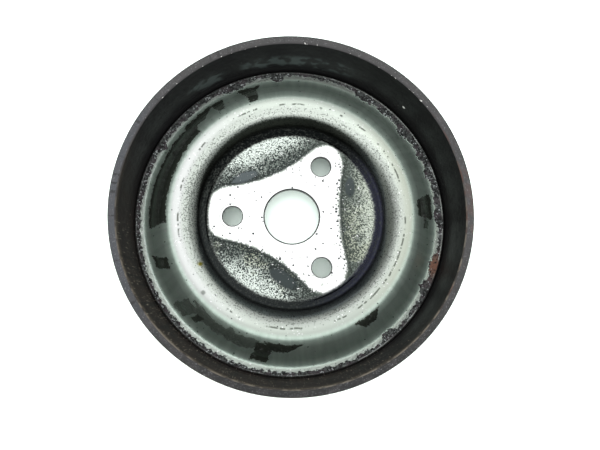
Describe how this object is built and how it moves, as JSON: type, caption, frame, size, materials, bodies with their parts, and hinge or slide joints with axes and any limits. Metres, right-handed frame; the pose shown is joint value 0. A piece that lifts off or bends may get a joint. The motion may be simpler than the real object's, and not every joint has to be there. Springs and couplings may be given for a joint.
{
  "type": "ribbed belt pulley",
  "caption": "Pressed-steel ribbed V-belt pulley: deep open rim, dished web with a raised ring, and a sunken three-lobed bolt-on hub with a pilot bore.",
  "frame": {"origin": "centre of the rear face, which the pulley rests on", "axes": "+Z along the axle's axis towards the open side; one bolt hole lies on -X"},
  "size_m": [0.15, 0.15, 0.0315],
  "materials": {
    "rim_coat": "worn satin black coat over steel, with bare grey edges and light rust",
    "dish_coat": "glossy grey-green coat, fine grain, scuffed on the crest and rusting at its outer edge",
    "weld_coat": "coated weld bead with fine ripples"
  },
  "bodies": {
    "root": {"grooved_rim": "rim_coat", "hub_dish": "dish_coat", "weld_bead": "weld_coat"}
  },
  "joints": []
}
